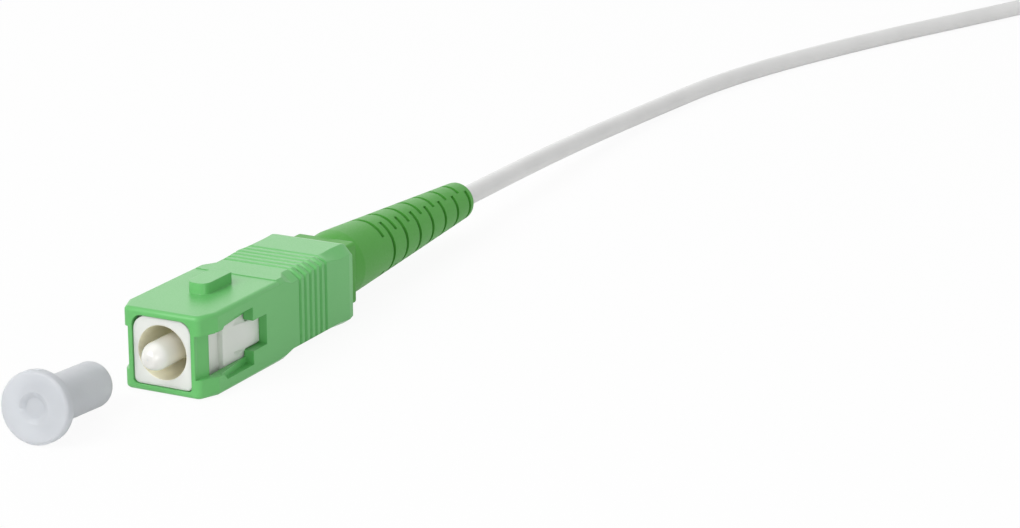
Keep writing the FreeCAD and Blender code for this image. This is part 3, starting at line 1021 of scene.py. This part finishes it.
@dataclass
class FibreCord:
    """The 2 mm cord: what shows of it, and the rest of its metre in a tied coil. Metres."""

    radius: float = 1.0 * MM
    length: float = 1.01
    exit: Point = (0.0, 0.0559, 0.0)
    route: tuple[Point, ...] = (
        (0.0, 0.0305, 0.0),
        (0.0, 0.0562, 0.0),
        (-0.0020, 0.0822, -0.00135),
        (-0.0028, 0.1051, -0.0026),
        (-0.0010, 0.1291, -0.00276),
        (0.0068, 0.1549, -0.00276),
        (0.0154, 0.1766, -0.00276),
        (0.0218, 0.1902, -0.00236),
        (0.0238, 0.1958, -0.00236),
        (0.0252, 0.2011, -0.00236),
    )
    coil_centre: tuple[float, float] = (0.0107, 0.2050)
    coil_start_degrees: float = -15.0
    coil_end_degrees: float = -26.0
    points_per_turn: int = 16
    whole_turns: int = 11
    # the winding as (turns so far, radius, height of the cord's middle)
    winding: tuple[tuple[float, float, float], ...] = (
        (0.0, 0.015, -0.00236), (0.8, 0.015, -0.00236), (1.0, 0.013, -0.00236),
        (1.8, 0.013, -0.00236), (2.0, 0.011, -0.00236), (2.8, 0.011, -0.00236),
        (3.0, 0.009, -0.00236), (3.6, 0.009, -0.00236), (3.8, 0.009, -0.00036),
        (4.4, 0.009, -0.00036), (4.6, 0.011, -0.00036), (5.4, 0.011, -0.00036),
        (5.6, 0.013, -0.00036), (6.4, 0.013, -0.00036), (6.6, 0.015, -0.00036),
        (7.2, 0.015, -0.00036), (7.4, 0.015, 0.00164), (8.0, 0.015, 0.00164),
        (8.2, 0.013, 0.00164), (9.0, 0.013, 0.00164), (9.2, 0.011, 0.00164),
        (10.5, 0.011, 0.00164), (10.75, 0.012, 0.00364), (11.0, 0.012, 0.00364),
    )
    # straight steps between control points, and in the cord's own round
    steps_along: int = 8
    steps_round: int = 5

    def turn(self, turns: float) -> Point:
        """The winding's control point after some turns.

        Args:
            turns: turns since the coil's start.

        Returns:
            The point.
        """
        before = max(row for row in self.winding if row[0] <= turns)
        after = min((row for row in self.winding if row[0] > turns), default=before)
        span = after[0] - before[0]
        part = (turns - before[0]) / span if span else 0.0
        # a quadratic curve runs inside its control points, so they stand a little further out
        out = 1.0 / math.cos(math.pi / self.points_per_turn)
        radius = out * (before[1] + part * (after[1] - before[1]))
        height = before[2] + part * (after[2] - before[2])
        angle = math.radians(self.coil_start_degrees + 360.0 * turns)
        x = self.coil_centre[0] + radius * math.cos(angle)
        y = self.coil_centre[1] + radius * math.sin(angle)
        return x, y, height

    def line(self) -> list[Point]:
        """All control points: the laid run, then the coil's turns.

        Returns:
            The points, from the crimp to the stripped end.
        """
        last = self.whole_turns + (self.coil_end_degrees - self.coil_start_degrees) / 360.0
        count = math.floor(last * self.points_per_turn)
        turns = [number / self.points_per_turn for number in range(1, count + 1)] + [last]
        return list(self.route) + [self.turn(turn) for turn in turns]

    def cord(self) -> bpy.types.Object:
        """Makes the cord as one curve and gives it its finish.

        Returns:
            The cord.
        """
        curve = bpy.data.curves.new("fibre_cord", "CURVE")
        curve.dimensions = "3D"
        curve.bevel_depth = self.radius
        curve.bevel_resolution = self.steps_round
        curve.use_fill_caps = True
        points = self.line()
        spline = curve.splines.new("NURBS")
        spline.points.add(len(points) - 1)
        for point, place in zip(spline.points, points):
            point.co = (*place, 1.0)
        # the order only takes once the points are there
        spline.order_u = 3
        spline.use_endpoint_u = True
        spline.resolution_u = self.steps_along
        cord = link("fibre_cord", curve)
        dress(cord, CORD_PVC, Body.PLUG, Slot.JACKET, "cord", "cord_coil")
        return cord

    def build(self) -> list[bpy.types.Object]:
        """Makes the cord, and dresses its stripped end and the two ties round its coil.

        Returns:
            Its pieces.
        """
        return [
            self.cord(),
            refinish("end_yarn", ARAMID),
            refinish("end_buffer", NATURAL_POLYAMIDE),
            refinish("coil_tie_1", NATURAL_POLYAMIDE),
            refinish("coil_tie_2", NATURAL_POLYAMIDE),
        ]


@dataclass
class SlidingHousing:
    """The green outer housing that slides on the plug frame. Sizes in millimetres."""

    edge_width: float = 0.16

    def build(self) -> list[bpy.types.Object]:
        """Makes the housing, its one piece."""
        shell = moulded("outer_housing", "housing_shell", self.edge_width)
        return [dress(shell, GREEN_PBT, Body.GRIP, Slot.HOUSING, "outer_housing")]


@dataclass
class PlugFrame:
    """The white frame round the ferrule, with slopes up to its latches. Sizes in millimetres."""

    edge_width: float = 0.06
    side: float = 3.4
    # how far the slopes reach into the frame
    root: float = 0.1
    latch_reach: float = 3.71
    latch_half_height: float = 1.2
    slope_half_height: float = 1.8
    slope_front: float = 8.1
    slope_rear: float = 9.6

    def latch_slopes(self) -> bpy.types.Object:
        """Makes the slopes that run from the frame's sides up to its latch shoulders.

        Returns:
            The four slopes, as one solid.
        """
        inside = self.side - self.root
        low = self.latch_half_height - self.root
        corners = [
            (inside, self.slope_front, low),
            (inside, self.slope_front, self.slope_half_height),
            (self.side, self.slope_front, low),
            (inside, self.slope_rear, low),
            (inside, self.slope_rear, self.slope_half_height + self.root),
            (self.latch_reach, self.slope_rear, low),
            (self.latch_reach, self.slope_rear, self.latch_half_height),
        ]
        work = bmesh.new()
        for across in (-1.0, 1.0):
            for up in (-1.0, 1.0):
                places = [(across * x * MM, y * MM, up * z * MM) for x, y, z in corners]
                bmesh.ops.convex_hull(work, input=[work.verts.new(place) for place in places])
        return solid("latch_slopes", work)

    def build(self) -> list[bpy.types.Object]:
        """Makes the frame, its one piece."""
        shell = moulded("plug_frame", "frame_shell", self.edge_width, self.latch_slopes())
        return [dress(shell, WHITE_PBT, Body.PLUG, Slot.FRAME, "plug_frame")]


@dataclass
class FerruleUnit:
    """The ceramic ferrule, its flange, fibre, tube and spring. Sizes in millimetres."""

    radius: float = 1.2495
    tip_radius: float = 0.65
    cone_length: float = 0.95
    tip_round: float = 0.6
    shoulder_round: float = 1.5
    bore_radius: float = 0.065
    seat_radius: float = 0.95
    seat_depth: float = 2.25
    polish_degrees: float = 8.0
    # how far the ferrule can be pushed back
    travel: float = 1.5

    def ferrule(self) -> bpy.types.Object:
        """Makes the ferrule: ground round, coned at its tip and polished at an angle.

        Returns:
            The ferrule.
        """
        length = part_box("ferrule")[1].y / MM
        seat = length - self.seat_depth
        profile = [
            (self.bore_radius, 0.0, 0.0),
            (self.tip_radius, 0.0, self.tip_round),
            (self.radius, self.cone_length, self.shoulder_round),
            (self.radius, seat, 0.0),
            (self.seat_radius, seat, 0.0),
            (self.seat_radius, length, 0.0),
            (self.bore_radius, length, 0.0),
        ]
        piece = lathe("ferrule_pin", profile, closed=True)
        # the angled end face: the tip leans back from its lower edge to its upper one
        lean = math.tan(math.radians(self.polish_degrees))
        for vertex in piece.data.vertices:
            along = vertex.co.y / (self.cone_length * MM)
            if along < 1.0:
                vertex.co.y += lean * vertex.co.z * (1.0 - along)
        weigh(piece)
        return dress(piece, ZIRCONIA, Body.FERRULE, Slot.FERRULE, "ferrule")

    def spring(self) -> bpy.types.Object:
        """Makes the spring, a copy of the CAD node's.

        Returns:
            The spring.
        """
        piece = link("return_spring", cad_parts["spring"].data.copy())
        dress(piece, SPRING_STEEL, Body.PLUG, Slot.SPRING, "spring")
        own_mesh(piece)
        return piece

    def build(self) -> list[bpy.types.Object]:
        """Makes the ferrule and its spring, and dresses what moves with it.

        Returns:
            Its pieces.
        """
        return [
            self.ferrule(),
            refinish("ferrule_flange", NICKEL_BRASS),
            refinish("optical_fibre", CLEAR_SILICA),
            refinish("guide_tube", NATURAL_POLYAMIDE),
            self.spring(),
        ]


@dataclass
class CordClamp:
    """The post, yarn and ring inside the boot that hold the cord, all as the CAD has them."""

    def build(self) -> list[bpy.types.Object]:
        """Dresses the clamp.

        Returns:
            Its pieces.
        """
        return [
            refinish("back_post", NICKEL_BRASS),
            refinish("aramid_yarn", ARAMID),
            refinish("crimp_ring", CRIMP_ALUMINIUM),
            refinish("tight_buffer", NATURAL_POLYAMIDE),
        ]


@dataclass
class StrainReliefBoot:
    """The soft green boot: a squared base, and a slotted cone behind it. Sizes in millimetres."""

    base_half_width: float = 3.1
    base_half_height: float = 2.95
    base_corner: float = 0.35
    base_length: float = 6.6
    corner_steps: int = 4
    # how far the cone starts inside the base
    cone_root: float = 1.0
    root_radius: float = 3.25
    root_bevel: float = 0.6
    root_rise: float = 1.6
    root_round: float = 2.0
    tip_radius: float = 1.9
    tip_round: float = 0.5
    bore_radius: float = 1.15
    bore_depth: float = 6.0
    bore_round: float = 0.1
    cone_segments: int = 144
    slot_width: float = 0.5
    slot_floor: float = 1.5
    # the cutter's outer radius, clear of the cone
    slot_reach: float = 6.5
    slot_pitch: float = 2.85
    slot_count: int = 7
    # the first slot's place behind the base, and half the angles of the first and last slots
    side_first: float = 7.8
    side_angles: tuple[float, float] = (64.0, 47.0)
    top_first: float = 6.4
    top_angles: tuple[float, float] = (56.0, 41.0)
    # straight steps along a slot's floor
    floor_steps: int = 12

    def span(self) -> tuple[float, float]:
        """The boot's first and last y."""
        low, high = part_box("boot")
        return low.y / MM, high.y / MM

    def base(self) -> bpy.types.Object:
        """Makes the squared end that sits against the post's collar.

        Returns:
            The base.
        """
        front = self.span()[0]
        wide = self.base_half_width - self.base_corner
        tall = self.base_half_height - self.base_corner
        outline = []
        for quarter, (x, z) in enumerate([(1, 1), (-1, 1), (-1, -1), (1, -1)]):
            for step in range(self.corner_steps + 1):
                angle = math.radians(90.0 * quarter + 90.0 * step / self.corner_steps)
                across = x * wide + self.base_corner * math.cos(angle)
                up = z * tall + self.base_corner * math.sin(angle)
                outline.append((across, up))
        return prism("boot_base", [(outline, front, front + self.base_length)])

    def cone(self) -> bpy.types.Object:
        """Makes the tapered tail, with the cord's bore in its end.

        Returns:
            The cone.
        """
        front, rear = self.span()
        root = front + self.base_length
        profile = [
            (0.0, root - self.cone_root, 0.0),
            (self.root_radius - self.root_bevel, root - self.cone_root, 0.0),
            (self.base_half_width, root, 0.0),
            (self.root_radius, root + self.root_rise, self.root_round),
            (self.tip_radius, rear, self.tip_round),
            (self.bore_radius, rear, self.bore_round),
            (self.bore_radius, rear - self.bore_depth, 0.0),
            (0.0, rear - self.bore_depth, 0.0),
        ]
        return lathe("boot_shell", profile, segments=self.cone_segments)

    def wedge(self, heading: float, half: float) -> Outline:
        """One slot's outline across the boot.

        Args:
            heading: the angle that it is centred on, in degrees.
            half: half the angle that it spans.

        Returns:
            Its corners.
        """
        corners = [(self.slot_reach, -half), (self.slot_reach, 0.0), (self.slot_reach, half)]
        for step in range(self.floor_steps + 1):
            corners.append((self.slot_floor, half - 2.0 * half * step / self.floor_steps))
        outline = []
        for radius, away in corners:
            angle = math.radians(heading + away)
            outline.append((radius * math.cos(angle), radius * math.sin(angle)))
        return outline

    def slots(self) -> bpy.types.Object:
        """Makes the cutter for all slots: pairs at the sides, and between them above and below.

        Returns:
            The cutter.
        """
        root = self.span()[0] + self.base_length
        at_sides = (self.side_first, self.side_angles, (0.0, 180.0))
        above_and_below = (self.top_first, self.top_angles, (90.0, 270.0))
        wedges = []
        for first, (wide, narrow), headings in (at_sides, above_and_below):
            for number in range(self.slot_count):
                middle = root + first + number * self.slot_pitch
                start, end = middle - self.slot_width / 2, middle + self.slot_width / 2
                half = wide + (narrow - wide) * number / (self.slot_count - 1)
                wedges += [(self.wedge(heading, half), start, end) for heading in headings]
        return prism("slot_cutter", wedges)

    def build(self) -> list[bpy.types.Object]:
        """Makes the boot.

        Returns:
            Its one piece.
        """
        boot = self.cone()
        combine(boot, self.base(), Join.ADD)
        combine(boot, self.slots(), Join.CUT)
        weigh(boot)
        return [dress(boot, GREEN_TPE, Body.PLUG, Slot.BOOT, "boot")]


@dataclass
class DustCap:
    """The frosted cap, lying in front of the plug. Sizes in millimetres."""

    flange_radius: float = 3.12
    flange_thickness: float = 1.25
    flange_round: float = 0.3
    barrel_radius: float = 2.01
    barrel_round: float = 0.4
    root_round: float = 0.15
    length: float = 10.1
    bore_radius: float = 1.27
    bore_depth: float = 7.6
    bore_round: float = 0.2
    mouth_round: float = 0.1
    dimple_radius: float = 1.35
    dimple_floor: float = 0.85
    dimple_depth: float = 0.3
    dimple_round: float = 0.25
    segments: int = 128
    place: tuple[float, float] = (-2.4, -13.0)
    heading_degrees: float = 6.5

    def turned(self) -> bpy.types.Object:
        """Makes the cap on its own axis.

        Returns:
            The cap.
        """
        profile = [
            (0.0, self.dimple_depth, 0.0),
            (self.dimple_floor, self.dimple_depth, self.dimple_round),
            (self.dimple_radius, 0.0, self.dimple_round),
            (self.flange_radius, 0.0, self.flange_round),
            (self.flange_radius, self.flange_thickness, self.flange_round),
            (self.barrel_radius, self.flange_thickness, self.root_round),
            (self.barrel_radius, self.length, self.barrel_round),
            (self.bore_radius, self.length, self.mouth_round),
            (self.bore_radius, self.length - self.bore_depth, self.bore_round),
            (0.0, self.length - self.bore_depth, 0.0),
        ]
        return lathe("cap_shell", profile, segments=self.segments)

    def build(self) -> list[bpy.types.Object]:
        """Makes the cap, leaning on its flange and its barrel's end.

        Returns:
            Its one piece.
        """
        cap = self.turned()
        drop = self.flange_radius - self.barrel_radius
        lean = math.atan(drop / (self.length - self.barrel_round))
        heading = Matrix.Rotation(math.radians(self.heading_degrees), 4, "Z")
        cap.data.transform(heading @ Matrix.Rotation(-lean, 4, "X"))
        lowest = min(vertex.co.z for vertex in cap.data.vertices)
        x, y = self.place
        cap.data.transform(Matrix.Translation((x * MM, y * MM, CAD_BOX[0].z - lowest)))
        weigh(cap)
        return [dress(cap, CAP_POLYETHYLENE, Body.PLUG, Slot.CAP, "dust_cap")]


def main() -> None:
    """Builds the studio and the connector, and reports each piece."""
    logging.basicConfig(level=logging.INFO, format="%(name)s: %(message)s")
    studio = Studio()
    studio.camera()
    assemblies = [FibreCord(), SlidingHousing(), PlugFrame(), FerruleUnit(), CordClamp()]
    assemblies += [StrainReliefBoot(), DustCap()]
    for assembly in assemblies:
        for piece in assembly.build():
            material = piece.material_slots[0].material
            log.info("%s: %s, %s", type(assembly).__name__, piece.name, material.name)
    studio.surround()
    studio.floor()
    studio.light()
    bpy.context.scene.view_settings.view_transform = "Standard"


if __name__ == "__main__":
    main()
